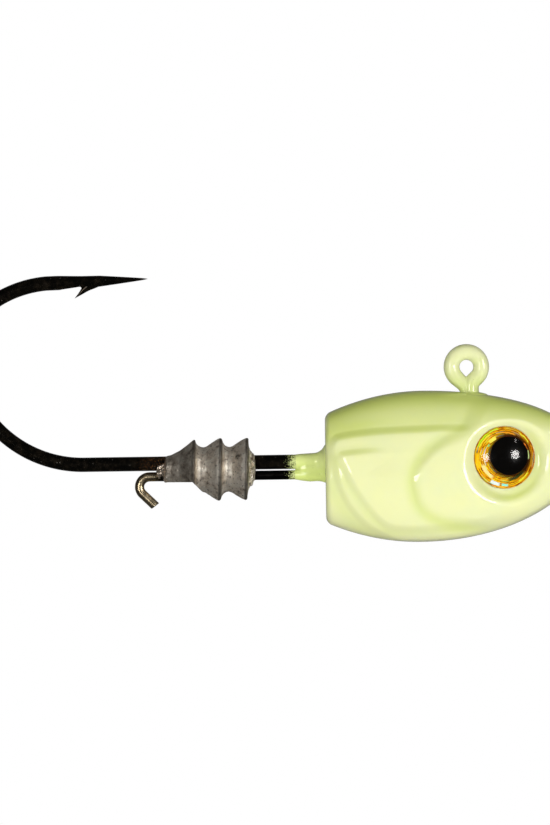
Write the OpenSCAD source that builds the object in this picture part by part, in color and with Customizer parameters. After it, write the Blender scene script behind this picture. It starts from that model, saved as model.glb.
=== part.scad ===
// Fish-head jig: a lead head cast round a forged jig hook, with a wire-backed bait keeper on the shank
// and a layered eye glued into a scooped socket on each side.
// The origin is the centre of the line-tie hole. +X points to the nose, +Z up, +Y to the fish's left.

/* [Hook] */
// Diameter of the hook wire
hook_wire = 1.86; // [1:0.02:3]
// Depth of the shank's axis below the line-tie hole
shank_drop = 11.93; // [8:0.01:16]
// Centreline radius of the line-tie ring
tie_ring_radius = 1.92; // [1.5:0.01:3]
// Half angle at the foot of the ring where its two legs part
tie_leg_angle = 42; // [20:1:60]
// Distance of the riser's axis in front of the ring's centre
riser_offset = 0.55; // [0:0.05:1]
// Centreline radius of the S bend between ring and riser
tie_neck_radius = 1.15; // [1:0.05:3]
// Length of the ring's tag end
tag_length = 1.8; // [1:0.05:3]
// Radius of the tag at its cut end
tag_end_radius = 0.72; // [0.5:0.01:0.9]
// Centreline radius of the right-angle bend inside the head
head_bend_radius = 3; // [2:0.1:6]
// Where the straight shank meets the bend, along the shank
bend_start = -49.5; // [-70:0.1:-40]
// Centreline radius of the bend next to the shank
lower_bend_radius = 15.3; // [10:0.1:20]
// Centreline radius at the back of the bend
middle_bend_radius = 9; // [6:0.1:12]
// Centreline radius of the bend next to the point
upper_bend_radius = 14.8; // [10:0.1:20]
// Height of the point limb's axis above the shank's axis, at its highest
gape = 23.5; // [15:0.1:30]
// Position of the highest point of the bend along the shank
crown_position = -52.9; // [-60:0.1:-45]
// Angle at which the point limb rises towards the point
point_angle = 1.9; // [0:0.1:6]
// Distance from the bend's end to the barb's root
barb_position = 2.9; // [1:0.1:5]
// Radius of the limb behind the barb
barb_neck_radius = 0.76; // [0.5:0.01:0.9]
// Length of the thick part of the point
point_body_length = 2.4; // [1:0.1:5]
// Radius where the needle point begins
point_body_radius = 0.71; // [0.4:0.01:0.9]
// Length of the needle point
needle_length = 5.2; // [2:0.1:8]
// Radius at the end of the needle
needle_end_radius = 0.19; // [0.05:0.01:0.4]
// Length of the honed tip
tip_length = 0.95; // [0.2:0.05:2]
// How far the barb stands off the limb's axis
barb_reach = 2.1; // [1:0.05:3]
// Width of the barb across the wire
barb_width = 0.7; // [0.3:0.05:1.2]

/* [Head] */
// Distance of the head's rear face behind the line-tie hole
rear_offset = 18.35; // [12:0.05:25]
// Distance of the widest section behind the line-tie hole
widest_offset = 6; // [2:0.1:12]
// Length from the widest section to the nose
nose_length = 20.9; // [12:0.1:30]
// Half height at the widest section
head_half_height = 9.75; // [6:0.05:14]
// Half width at the widest section
head_half_width = 5.8; // [4:0.05:10]
// Height of the section's middle at the widest section
head_centre_height = -12.75; // [-18:0.05:-8]
// Loss of half height towards the rear, per square millimetre
rear_taper_height = 0.018; // [0:0.001:0.04]
// Loss of half width towards the rear, per square millimetre
rear_taper_width = 0.006; // [0:0.0005:0.04]
// Rise of the section's middle towards the nose, per square millimetre
nose_lift = 0.0028; // [0:0.0001:0.006]
// Fall of the section's middle towards the rear, per millimetre
rear_fall = 0.009; // [0:0.001:0.03]
// Rounding at the edge of the rear face
rear_edge_radius = 0.7; // [0.2:0.05:2]
// Squareness of the cross section: 2 is an ellipse
section_power = 2.4; // [2:0.1:4]
// Step from the body to the lower flank plate
lower_plate_step = 0.2; // [0.1:0.01:0.6]
// Step from the body to the upper flank plate
upper_plate_step = 0.4; // [0.2:0.01:1]
// Step from the body to the gill cover and face
gill_step = 0.6; // [0.2:0.01:1.2]
// Length of the lead nub round the wires behind the rear face
nub_length = 0.5; // [0.2:0.05:2]
// Radius of the nub at the rear face
nub_root_radius = 2.5; // [2:0.05:4]
// Radius of the nub at its tip
nub_tip_radius = 1.75; // [1:0.05:3]

/* [Bait keeper] */
// Diameter of the keeper wire
keeper_wire_size = 1.2; // [0.8:0.02:2]
// Depth of the keeper wire's axis below the shank's axis
keeper_wire_drop = 1.69; // [1.2:0.01:3]
// Length of keeper wire buried in the head
keeper_wire_buried = 10; // [5:0.5:14]
// Where the keeper wire's tail begins to turn, along the shank
tail_position = -41.1; // [-46:0.1:-39]
// Centreline radius of the tail's turn
tail_radius = 1.28; // [1:0.02:3]
// Angle the tail turns through
tail_turn = 136; // [90:1:180]
// Straight length at the end of the tail
tail_leg = 2.2; // [1:0.1:5]
// Front end of the keeper casting, along the shank
keeper_front = -38.95; // [-42:0.05:-36]
// Back end of the keeper casting, along the shank
keeper_back = -27.65; // [-30:0.05:-25]
// Radius of the keeper's rings at their crests
ring_crest_radius = 4.03; // [3:0.01:5]
// Radius between the rings
ring_valley_radius = 2.88; // [2:0.01:3.5]
// Depth of the flat rib under the keeper's front cone, below the keeper's axis
rib_depth = 1.56; // [1.4:0.01:2]

/* [Fish eyes] */
// Diameter of the eye
eye_size = 8; // [5:0.5:12]
// Distance of the eye's centre in front of the line-tie hole
eye_position = 4.63; // [2:0.05:8]
// Height of the eye's centre
eye_height = -11.75; // [-16:0.05:-8]
// Distance of the socket's floor from the head's middle plane
socket_floor = 4.2; // [3:0.05:6]
// Angle the eye turns towards the nose
eye_turn = 10; // [0:1:20]
// Radius of the scoop at the socket's floor
scoop_floor_radius = 4.5; // [4.2:0.05:6]
// Widening of the scoop for each millimetre of height
scoop_slope = 0.82; // [0.2:0.02:1.5]
// Forward shift of the scoop from the eye's centre
scoop_forward = 0.25; // [0:0.05:0.5]
// Downward shift of the scoop from the eye's centre
scoop_down = 0.3; // [0:0.05:0.5]
// Thickness of the adhesive pad
adhesive_thickness = 0.15; // [0.05:0.01:0.5]
// Thickness of the foil
foil_thickness = 0.1; // [0.05:0.01:0.3]
// Thickness of the printed pupil
pupil_thickness = 0.04; // [0.02:0.01:0.1]
// Diameter of the printed pupil
pupil_size = 4.9; // [3:0.1:7]
// Height of the clear dome
dome_height = 1.6; // [0.8:0.05:3]
// Height of the dome's straight edge
dome_edge = 0.3; // [0.1:0.05:0.6]

/* [Coating] */
// Thickness of the paint on the line-tie ring
tie_paint = 0.065; // [0.03:0.005:0.2]
// Radius of the clear hole left in the painted ring
tie_hole_radius = 0.94; // [0.8:0.01:1.5]
// Thickness of the paint round the wires behind the head
collar_paint = 0.12; // [0.05:0.01:0.4]
// Length of the painted collar behind the head
collar_length = 3.95; // [1:0.05:8]
// Thickness of the paint web between the two wires
web_thickness = 1; // [0.4:0.05:1.8]

/* [Hidden] */

left = 1;
right = -1;
joint = 0.05;
round_steps = 32;
sweep_steps = 72;
// Wires stop short of each joint by joint_gap, and a knuckle a hair thicker than the wire joins them
joint_gap = 0.03;
knuckle_extra = 0.01;

// hook
wire_r = hook_wire / 2;
shank_z = -shank_drop;
ring_from = -90 + tie_leg_angle;
ring_to = 270 - tie_leg_angle;
leg_heading = ring_from - 90;
neck_turn = 90 - tie_leg_angle;
leg_top = [tie_ring_radius * cos(ring_from), tie_ring_radius * sin(ring_from)];
leg_run = (leg_top[0] - riser_offset) / -cos(leg_heading);
neck_tangent = tie_neck_radius * tan(neck_turn / 2);
neck_top = leg_top + (leg_run - neck_tangent) * [cos(leg_heading), sin(leg_heading)];
neck_foot = [riser_offset, leg_top[1] + leg_run * sin(leg_heading) - neck_tangent];
neck_centre = [riser_offset + tie_neck_radius, neck_foot[1]];
tag_top = [-leg_top[0], leg_top[1]];
tag_heading = ring_to + 90;
riser_foot = [riser_offset, shank_z + head_bend_radius];
head_bend_centre = [riser_offset - head_bend_radius, riser_foot[1]];
shank_head_end = [head_bend_centre[0], shank_z];
shank_bend_end = [bend_start, shank_z];

// three tangent arcs of the bend: the middle circle touches the outer two from inside
lower_centre = [bend_start, shank_z + lower_bend_radius];
upper_centre = [crown_position, shank_z + gape - upper_bend_radius];
centre_span = upper_centre - lower_centre;
lower_reach = lower_bend_radius - middle_bend_radius;
upper_reach = upper_bend_radius - middle_bend_radius;
span = norm(centre_span);
along = (lower_reach * lower_reach - upper_reach * upper_reach + span * span) / (2 * span);
across = sqrt(lower_reach * lower_reach - along * along);
span_way = centre_span / span;
middle_centre = lower_centre + along * span_way + across * [span_way[1], -span_way[0]];
lower_way = middle_centre - lower_centre;
upper_way = middle_centre - upper_centre;
lower_tangent = 360 + atan2(lower_way[1], lower_way[0]);
upper_tangent = atan2(upper_way[1], upper_way[0]);
crown_end_angle = 90 - point_angle;
limb_start = upper_centre + upper_bend_radius * [cos(crown_end_angle), sin(crown_end_angle)];
limb_way = [cos(point_angle), sin(point_angle)];
barb_root = limb_start + barb_position * limb_way;
tip_radius = 0.02;

// head
rear_x = -rear_offset;
widest_x = -widest_offset;
corner_steps = 4;
body_steps = 10;
nose_steps = 14;
ring_points = 40;
// A plate's step is all on the flanks: its share at the back and belly only keeps the surfaces apart
ridge_share = 0.08;
station_count = corner_steps + body_steps + nose_steps;
nub_z = shank_z - 0.45;

// keeper
keeper_wire_r = keeper_wire_size / 2;
keeper_wire_z = shank_z - keeper_wire_drop;
keeper_z = shank_z - keeper_wire_drop / 2;
tail_end_angle = 90 + tail_turn;
tail_centre = [tail_position, keeper_wire_z - tail_radius];
tail_leg_start = tail_centre + tail_radius * [cos(tail_end_angle), sin(tail_end_angle)];
tail_leg_end = tail_leg_start + tail_leg * [-sin(tail_end_angle), cos(tail_end_angle)];

// eyes
eye_r = eye_size / 2;
recess = adhesive_thickness + foil_thickness;
recess_radius = eye_r + joint;
dome_rise = dome_height - dome_edge;
dome_sphere = (eye_r * eye_r + dome_rise * dome_rise) / (2 * dome_rise);
scoop_height = 3;

// Turns +Z to run from one [x, z] point of the middle plane towards another
module aim(from, to) {
    way = to - from;
    translate([from[0], 0, from[1]])
        rotate([0, 90 - atan2(way[1], way[0]), 0])
            children();
}

// A straight round rod in the middle plane
module rod(from, to, r1, r2) {
    aim(from, to)
        cylinder(h = norm(to - from), r1 = r1, r2 = r2, $fn = round_steps);
}

// A straight wire that stops short of the joints at its two ends
module wire(from, to, r) {
    aim(from, to)
        translate([0, 0, joint_gap])
            cylinder(h = norm(to - from) - 2 * joint_gap, r = r, $fn = round_steps);
}

// Joins two lengths of wire end to end
module knuckle(at, r) {
    translate([at[0], 0, at[1]])
        sphere(r = r + knuckle_extra, $fn = round_steps);
}

// A round wire bent in the middle plane about an [x, z] centre, short of the joints at its two ends
module bent_wire(centre, radius, from, to, r) {
    short = joint_gap / radius * 180 / PI;
    translate([centre[0], 0, centre[1]])
        rotate([90, 0, 0])
            rotate([0, 0, from + short])
                rotate_extrude(angle = to - from - 2 * short, $fn = sweep_steps)
                    translate([radius, 0])
                        circle(r = r, $fn = round_steps);
}

// The ring with both of its legs; extra thickens the wire
module tie_ring(extra) {
    r = wire_r + extra;
    bent_wire([0, 0], tie_ring_radius, ring_from, ring_to, r);
    knuckle(leg_top, r);
    wire(leg_top, neck_top, r);
    knuckle(neck_top, r);
    bent_wire(neck_centre, tie_neck_radius, 180 - neck_turn, 180, r);
    knuckle(tag_top, r);
    rod(tag_top, tag_top + (tag_length + extra) * [cos(tag_heading), sin(tag_heading)],
        r, tag_end_radius + extra);
}

module riser() {
    knuckle(neck_foot, wire_r);
    wire(neck_foot, riser_foot, wire_r);
}

// The riser, the bend and the shank, which the head is cast round
module buried_wire() {
    riser();
    knuckle(riser_foot, wire_r);
    bent_wire(head_bend_centre, head_bend_radius, -90, 0, wire_r);
    knuckle(shank_head_end, wire_r);
    wire(shank_head_end, shank_bend_end, wire_r);
}

// The limb from the end of the bend to the tip, as one turned shape
module point_limb() {
    body = barb_position + point_body_length;
    aim(limb_start, limb_start + limb_way)
        rotate_extrude($fn = sweep_steps)
            polygon([[0, joint_gap], [wire_r, joint_gap], [barb_neck_radius, barb_position],
                [point_body_radius, body], [needle_end_radius, body + needle_length],
                [tip_radius, body + needle_length + tip_length], [0, body + needle_length + tip_length]]);
}

module barb() {
    tip = barb_root - barb_reach * [sin(24), cos(24)];
    translate([0, barb_width / 2, 0])
        rotate([90, 0, 0])
            linear_extrude(height = barb_width)
                polygon([tip, barb_root + [1.55, -0.55], barb_root + [0.9, -0.1], barb_root + [0, -0.4]]);
}

module hook() {
    color([0.09, 0.09, 0.1]) {
        tie_ring(0);
        buried_wire();
        bent_wire(lower_centre, lower_bend_radius, lower_tangent, 270, wire_r);
        bent_wire(middle_centre, middle_bend_radius, upper_tangent, lower_tangent, wire_r);
        bent_wire(upper_centre, upper_bend_radius, crown_end_angle, upper_tangent, wire_r);
        knuckle(shank_bend_end, wire_r);
        knuckle([lower_centre[0] + lower_bend_radius * cos(lower_tangent),
            lower_centre[1] + lower_bend_radius * sin(lower_tangent)], wire_r);
        knuckle([upper_centre[0] + upper_bend_radius * cos(upper_tangent),
            upper_centre[1] + upper_bend_radius * sin(upper_tangent)], wire_r);
        knuckle(limb_start, wire_r);
        point_limb();
        barb();
    }
}

// Loss at the rounded edge of the rear face
function edge_loss(x) =
    x < rear_x + rear_edge_radius
        ? rear_edge_radius - sqrt(pow(rear_edge_radius, 2) - pow(rear_x + rear_edge_radius - x, 2))
        : 0;

// A section of the head: [x, half height, half width, height of its middle]
function rear_section(x, grow) = let (d = widest_x - x) [
    x,
    head_half_height - rear_taper_height * d * d - edge_loss(x) + ridge_share * grow,
    head_half_width - rear_taper_width * d * d - edge_loss(x) + grow,
    head_centre_height - rear_fall * d
];

function nose_section(turn, grow) = let (d = (nose_length + ridge_share * grow) * sin(turn)) [
    widest_x + d,
    (head_half_height + ridge_share * grow) * cos(turn),
    (head_half_width + grow) * cos(turn),
    head_centre_height + nose_lift * d * d
];

function section(i, grow) =
    i < corner_steps
        ? rear_section(rear_x + rear_edge_radius * (1 - cos(90 * i / corner_steps)), grow)
        : i < corner_steps + body_steps
            ? rear_section(rear_x + rear_edge_radius
                + (widest_x - rear_x - rear_edge_radius) * (i - corner_steps) / body_steps, grow)
            : nose_section(87 * (i - corner_steps - body_steps) / (nose_steps - 1), grow);

function rounded_power(v) = sign(v) * pow(abs(v), 2 / section_power);

// The plain head without relief, widened on each flank by grow
module head_blank(grow) {
    rings = [for (i = [0 : station_count - 1])
        let (s = section(i, grow))
            for (k = [0 : ring_points - 1])
                let (a = 360 * k / ring_points)
                    [s[0], s[2] * rounded_power(cos(a)), s[3] + s[1] * rounded_power(sin(a))]];
    tip = nose_section(90, grow);
    last = (station_count - 1) * ring_points;
    sides = [for (i = [0 : station_count - 2])
        for (k = [0 : ring_points - 1])
            let (n = (k + 1) % ring_points, b = i * ring_points)
                each [[b + k, b + ring_points + n, b + n], [b + k, b + ring_points + k, b + ring_points + n]]];
    nose = [for (k = [0 : ring_points - 1]) [last + (k + 1) % ring_points, last + k, len(rings)]];
    rear = [[for (k = [0 : ring_points - 1]) k]];
    polyhedron(points = concat(rings, [[tip[0], 0, tip[3]]]), faces = concat(rear, sides, nose));
}

module through_head() {
    translate([0, 2 * head_half_width, 0])
        rotate([90, 0, 0])
            linear_extrude(height = 4 * head_half_width)
                children();
}

// Outlines of the raised plates, seen from the side
module lower_plate_outline() {
    polygon([[-17.6, -10.2], [-16.6, -8.9], [-6, -8], [2, -7.8], [2, -24],
        [-9, -24], [-12.5, -21.1], [-15.2, -18.8], [-17, -15.2]]);
}

module upper_plate_outline() {
    polygon([[-16.5, -11.3], [-15.8, -10.9], [-6, -10.5], [2, -10.4], [2, -20.5],
        [-10, -20.6], [-12.5, -18.6], [-15, -14.7]]);
}

module gill_outline() {
    difference() {
        union() {
            translate([0.6, -14.6])
                scale([1, 0.75])
                    circle(r = 7.1, $fn = 64);
            translate([0.6, -30])
                square([30, 40]);
        }
        translate([-4.2, -3.9])
            circle(r = 6.2, $fn = 64);
        translate([-6, -26.5])
            square([20, 6.6]);
    }
}

// One scooped socket; side is left or right
module at_eye(side) {
    translate([eye_position, side * socket_floor, eye_height])
        rotate([0, 0, -side * eye_turn])
            rotate([-90 * side, 0, 0])
                children();
}

module socket(side) {
    at_eye(side) {
        translate([0, 0, -recess])
            cylinder(h = recess + joint, r = recess_radius, $fn = sweep_steps);
        translate([scoop_forward, side * scoop_down, 0])
            cylinder(h = scoop_height, r1 = scoop_floor_radius,
                r2 = scoop_floor_radius + scoop_slope * scoop_height, $fn = sweep_steps);
    }
}

// The nub of lead that wraps the wires behind the rear face
module nub() {
    rod([rear_x + joint, nub_z], [rear_x - nub_length, nub_z],
        nub_root_radius + joint, nub_tip_radius);
}

module head_casting() {
    color([0.86, 0.9, 0.62])
        difference() {
            union() {
                head_blank(0);
                intersection() {
                    head_blank(lower_plate_step);
                    through_head()
                        lower_plate_outline();
                }
                intersection() {
                    head_blank(upper_plate_step);
                    through_head()
                        upper_plate_outline();
                }
                intersection() {
                    head_blank(gill_step);
                    through_head()
                        gill_outline();
                }
                nub();
            }
            buried_wire();
            keeper_wire_path();
            coat_neck(tie_paint);
            socket(left);
            socket(right);
        }
}

// The keeper's ringed body about its own axis, before the wires and the rib are cut
module keeper_body() {
    start = ring_valley_radius;
    crest = ring_crest_radius;
    translate([0, 0, keeper_z])
        rotate([0, 90, 0])
            rotate_extrude($fn = sweep_steps)
                polygon([[0, keeper_front], [1.81, keeper_front], [crest - 0.16, -35.4], [start, -34.3],
                    [crest, -32.05], [crest - 0.1, -31.85], [start, -31.1], [start - 0.03, -30.75],
                    [crest - 0.05, -28.7], [crest - 0.1, -28.45], [2.1, -28.05], [1.75, keeper_back],
                    [0, keeper_back]]);
}

module keeper_casting() {
    color([0.5, 0.5, 0.5])
        difference() {
            keeper_body();
            translate([keeper_front - 1, -2 * ring_crest_radius, keeper_z - rib_depth - 10])
                cube([-35.4 - keeper_front + 1, 4 * ring_crest_radius, 10]);
            buried_wire();
            keeper_wire_path();
        }
}

module keeper_wire_path() {
    wire([rear_x + keeper_wire_buried, keeper_wire_z], [tail_position, keeper_wire_z], keeper_wire_r);
    knuckle([tail_position, keeper_wire_z], keeper_wire_r);
    bent_wire(tail_centre, tail_radius, 90, tail_end_angle, keeper_wire_r);
    knuckle(tail_leg_start, keeper_wire_r);
    wire(tail_leg_start, tail_leg_end, keeper_wire_r);
}

module keeper_wire() {
    color([0.2, 0.18, 0.16])
        keeper_wire_path();
}

// The painted riser down to just under the head's skin
module coat_neck(extra) {
    knuckle(neck_foot, wire_r + extra);
    wire(neck_foot, neck_foot - [0, 1.3], wire_r + extra);
}

module line_tie_coat() {
    color([0.9, 0.94, 0.66])
        difference() {
            union() {
                tie_ring(tie_paint);
                coat_neck(tie_paint);
            }
            tie_ring(0);
            riser();
            rotate([90, 0, 0])
                cylinder(h = 2 * hook_wire, r = tie_hole_radius, center = true, $fn = sweep_steps);
        }
}

module collar_coat() {
    front = rear_x - nub_length;
    back = rear_x - collar_length;
    color([0.84, 0.9, 0.6])
        difference() {
            union() {
                rod([front, shank_z], [back, shank_z], wire_r + collar_paint, wire_r + collar_paint);
                rod([front, keeper_wire_z], [back, keeper_wire_z],
                    keeper_wire_r + collar_paint, keeper_wire_r + collar_paint);
                translate([back, -web_thickness / 2, keeper_wire_z])
                    cube([front - back, web_thickness, keeper_wire_drop]);
            }
            buried_wire();
            keeper_wire_path();
        }
}

module eye_adhesive(side) {
    color([0.95, 0.95, 0.92])
        at_eye(side)
            translate([0, 0, -recess])
                cylinder(h = adhesive_thickness, r = eye_r, $fn = sweep_steps);
}

module eye_foil(side) {
    color([0.85, 0.62, 0.12])
        at_eye(side)
            translate([0, 0, -foil_thickness])
                cylinder(h = foil_thickness, r = eye_r, $fn = sweep_steps);
}

module eye_pupil(side) {
    color([0.02, 0.02, 0.02])
        at_eye(side)
            cylinder(h = pupil_thickness, d = pupil_size, $fn = sweep_steps);
}

module eye_dome(side) {
    color([0.95, 0.95, 0.95, 0.35])
        at_eye(side)
            difference() {
                intersection() {
                    cylinder(h = dome_height + 1, r = eye_r, $fn = sweep_steps);
                    translate([0, 0, dome_height - dome_sphere])
                        sphere(r = dome_sphere, $fn = sweep_steps);
                }
                translate([0, 0, -1])
                    cylinder(h = 1 + pupil_thickness, d = pupil_size, $fn = sweep_steps);
            }
}

hook();
head_casting();
keeper_casting();
keeper_wire();
line_tie_coat();
collar_coat();
eye_adhesive(left);  // eye_adhesive_left
eye_foil(left);  // eye_foil_left
eye_pupil(left);  // eye_pupil_left
eye_dome(left);  // eye_dome_left
eye_adhesive(right);  // eye_adhesive_right
eye_foil(right);  // eye_foil_right
eye_pupil(right);  // eye_pupil_right
eye_dome(right);  // eye_dome_right
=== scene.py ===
import math

import bmesh
import bpy
import numpy as np
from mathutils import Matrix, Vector, noise


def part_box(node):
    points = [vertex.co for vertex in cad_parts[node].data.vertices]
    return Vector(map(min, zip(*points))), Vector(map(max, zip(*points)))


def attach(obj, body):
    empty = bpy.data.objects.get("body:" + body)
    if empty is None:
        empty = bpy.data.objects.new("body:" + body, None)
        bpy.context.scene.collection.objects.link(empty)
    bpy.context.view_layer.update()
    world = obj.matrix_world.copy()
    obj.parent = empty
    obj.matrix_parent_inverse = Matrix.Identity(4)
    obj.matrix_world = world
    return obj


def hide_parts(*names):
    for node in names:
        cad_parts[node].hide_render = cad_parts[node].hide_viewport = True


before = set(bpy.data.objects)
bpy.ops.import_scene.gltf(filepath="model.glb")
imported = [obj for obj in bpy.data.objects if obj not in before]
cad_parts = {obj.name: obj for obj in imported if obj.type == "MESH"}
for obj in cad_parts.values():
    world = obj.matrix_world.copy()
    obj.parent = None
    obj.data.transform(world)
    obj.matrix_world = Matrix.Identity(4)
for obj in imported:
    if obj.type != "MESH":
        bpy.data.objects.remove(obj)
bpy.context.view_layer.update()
MM = 0.001

# ---- places and sizes, in mm, as in the CAD


def box_mm(node):
    """The low and high corners of a CAD node's box."""
    lo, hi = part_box(node)
    return np.array(lo) / MM, np.array(hi) / MM


keeper_lo, keeper_hi = box_mm("keeper_casting")
dome_lo, dome_hi = box_mm("eye_dome_right")

# the hook: wire, painted ring round the origin, neck below it, riser and shank
HOOK_R = 0.93
RING_PAINT = 0.065
RING_R = box_mm("line_tie_coat")[1][2] - HOOK_R - RING_PAINT
RING_FROM, RING_TO = 228, -48
NECK_AT, NECK_R = (1.7, -2.601), 1.15
RISER_X = 0.55
SHANK_Z = -11.93
LIMB_TURN = math.radians(1.9)

# the keeper: the wire under the shank and the lead cast round both
KEEPER_R = 0.6
KEEPER_Z = (keeper_lo[2] + keeper_hi[2]) / 2
KEEPER_WIRE_Z = box_mm("keeper_wire")[1][2] - KEEPER_R
KEEPER_SHIFT, KEEPER_SKEW = 0.03, 0.035
TAIL_AT, TAIL_R = (-41.1, -14.9), 1.28

# the head: its rear face, its widest section, and how fast the section shrinks and shifts
REAR_X = -18.35
REAR_ROUND = 0.7
WIDEST_X = -6.0
NOSE_LENGTH = box_mm("head_casting")[1][0] - WIDEST_X
HALF_HEIGHT, HALF_WIDTH, CENTRE_Z = 9.75, 5.8, -12.75
HEIGHT_TAPER, WIDTH_TAPER = 0.018, 0.006
CENTRE_FALL, CENTRE_RISE = 0.009, 0.0028
POWER = 2.4
NUB_Z = SHANK_Z - 0.45
FLARE_Z = SHANK_Z + 0.1

# the eyes: middle of the socket's floor, turn towards the nose, radii, pupil's place on the foil
EYE_X = 4.63
EYE_Z = (dome_lo[2] + dome_hi[2]) / 2
EYE_FLOOR = 4.2
EYE_TURN = math.radians(10)
EYE_R, FOIL_R, SEAT_R = 4.0, 3.97, 4.05
PUPIL_U, PUPIL_W, PUPIL_R = 0.58, 0.22, 2.34

# the scoop round each eye: its shift ahead and down, its radius at the floor, the slope of its wall
SCOOP_AHEAD, SCOOP_DOWN, SCOOP_R, SCOOP_SLOPE = 0.42, 0.42, 4.2, 0.62

# ---- mesh helpers, in mm


def smooth01(v, lo, hi):
    """Eases from 0 at lo to 1 at hi; lo may be the larger."""
    t = np.clip((np.asarray(v, float) - lo) / (hi - lo), 0, 1)
    return t * t * (3 - 2 * t)


def soft_min(a, b, k):
    """The smaller of a and b, with the corner between them rounded over a width of k."""
    h = np.clip(0.5 + 0.5 * (b - a) / k, 0, 1)
    return b + (a - b) * h - k * h * (1 - h)


def soft_max(a, b, k):
    return -soft_min(-a, -b, k)


def bell(d, middle, width):
    return np.exp(-((d - middle) / width) ** 2)


def link(name, data):
    obj = bpy.data.objects.new(name, data)
    bpy.context.scene.collection.objects.link(obj)
    return obj


def make_object(name, points, faces, sharp=None):
    """A shaded object from points in mm; edges turning more than sharp degrees stay crisp."""
    mesh = bpy.data.meshes.new(name)
    mesh.from_pydata((np.asarray(points) * MM).tolist(), [], faces)
    bm = bmesh.new()
    bm.from_mesh(mesh)
    bmesh.ops.recalc_face_normals(bm, faces=bm.faces)
    bm.to_mesh(mesh)
    bm.free()
    obj = link(name, mesh)
    shade(obj, sharp)
    return obj


def shade(obj, sharp=None):
    mesh = obj.data
    mesh.polygons.foreach_set("use_smooth", [True] * len(mesh.polygons))
    if sharp:
        mesh.set_sharp_from_angle(angle=math.radians(sharp))
    mesh.update()


def ring_faces(rings, sides):
    """Four-sided faces between neighbouring rings of points."""
    faces = []
    for i in range(rings - 1):
        a, b = i * sides, (i + 1) * sides
        for k in range(sides):
            n = (k + 1) % sides
            faces.append((a + k, a + n, b + n, b + k))
    return faces


def closed_rings(name, rings, sharp=None):
    """A closed skin over rings of points, each end gathered in a middle point."""
    count, sides, _ = rings.shape
    points = np.vstack([rings.reshape(-1, 3), rings[0].mean(0), rings[-1].mean(0)])
    faces = ring_faces(count, sides)
    first, last, end = count * sides, count * sides + 1, (count - 1) * sides
    for k in range(sides):
        n = (k + 1) % sides
        faces.append((n, k, first))
        faces.append((end + k, end + n, last))
    return make_object(name, points, faces, sharp)


def circle(sides):
    return np.linspace(0, 2 * math.pi, sides, endpoint=False)


def sweep(name, path, sides=40, sharp=None):
    """A round wire along a path of (x, z, radius) in the middle plane."""
    path = np.asarray(path, float)
    way = np.gradient(path[:, :2], axis=0)
    way /= np.linalg.norm(way, axis=1)[:, None]
    turn = circle(sides)
    rings = np.zeros((len(path), sides, 3))
    side_x, side_z = -way[:, 1], way[:, 0]
    radius = path[:, 2][:, None]
    rings[:, :, 0] = path[:, 0][:, None] + radius * side_x[:, None] * np.cos(turn)
    rings[:, :, 1] = radius * np.sin(turn)
    rings[:, :, 2] = path[:, 1][:, None] + radius * side_z[:, None] * np.cos(turn)
    return closed_rings(name, rings, sharp)


def arc(centre, radius, start, stop, step=0.2):
    count = max(3, int(abs(math.radians(stop - start)) * radius / step))
    turn = np.radians(np.linspace(start, stop, count))
    return np.column_stack([centre[0] + radius * np.cos(turn), centre[1] + radius * np.sin(turn)])


def direction(turn):
    return np.array([math.cos(turn), math.sin(turn)])


def line(start, stop, step=0.3):
    count = max(2, int(math.dist(start, stop) / step))
    return np.linspace(start, stop, count)


def join_path(*parts):
    """Chains paths end to end; each later part starts on the last point of the one before."""
    out = [parts[0]]
    for part in parts[1:]:
        out.append(part[1:])
    return np.vstack(out)


def thick(path, radius):
    """Adds one radius to every point of a path."""
    return np.column_stack([path, np.full(len(path), radius)])


def apply_modifiers(obj):
    bpy.context.view_layer.update()
    done = obj.evaluated_get(bpy.context.evaluated_depsgraph_get())
    mesh = bpy.data.meshes.new_from_object(done)
    obj.modifiers.clear()
    obj.data = mesh
    return obj


def combine(obj, tool, operation):
    """Adds the tool to the object or cuts it away, and uses the tool up."""
    mod = obj.modifiers.new("combine", "BOOLEAN")
    mod.object, mod.operation, mod.solver = tool, operation, "EXACT"
    apply_modifiers(obj)
    bpy.data.objects.remove(tool)
    return obj


def melt(name, parts, voxel, rounds, lift):
    """Joins overlapping parts into one skin, softens the creases and swells it by lift."""
    mesh = bpy.data.meshes.new(name)
    bm = bmesh.new()
    for part in parts:
        bm.from_mesh(part.data)
        bpy.data.objects.remove(part)
    bm.to_mesh(mesh)
    bm.free()
    obj = link(name, mesh)
    remesh = obj.modifiers.new("skin", "REMESH")
    remesh.mode, remesh.voxel_size, remesh.adaptivity = "VOXEL", voxel * MM, 0
    soften = obj.modifiers.new("soften", "SMOOTH")
    soften.factor, soften.iterations = 0.5, rounds
    swell = obj.modifiers.new("swell", "DISPLACE")
    swell.strength, swell.mid_level = lift * MM, 0
    apply_modifiers(obj)
    shade(obj)
    return obj


def attribute(obj, name, values, kind="FLOAT"):
    """Stores one value for each point, for a material to read."""
    layer = obj.data.attributes.new(name, kind, "POINT")
    field = "value" if kind == "FLOAT" else "vector"
    layer.data.foreach_set(field, np.asarray(values, np.float32).ravel())


def coords(obj):
    co = np.zeros(len(obj.data.vertices) * 3)
    obj.data.vertices.foreach_get("co", co)
    return co.reshape(-1, 3) / MM


def set_coords(obj, co):
    obj.data.vertices.foreach_set("co", (co * MM).ravel())
    obj.data.update()


def roughen(obj, layers):
    """Moves points along their normals by layers of (size in mm, amount in mm, seed)."""
    co = coords(obj)
    normals = np.zeros(len(co) * 3)
    obj.data.vertices.foreach_get("normal", normals)
    normals = normals.reshape(-1, 3)
    amount = np.zeros(len(co))
    for size, depth, seed in layers:
        shift = Vector((seed, seed * 1.7, seed * 0.3))
        amount += depth * np.array([noise.noise(Vector(p) / size + shift) for p in co])
    set_coords(obj, co + normals * amount[:, None])


# ---- node helpers


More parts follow.
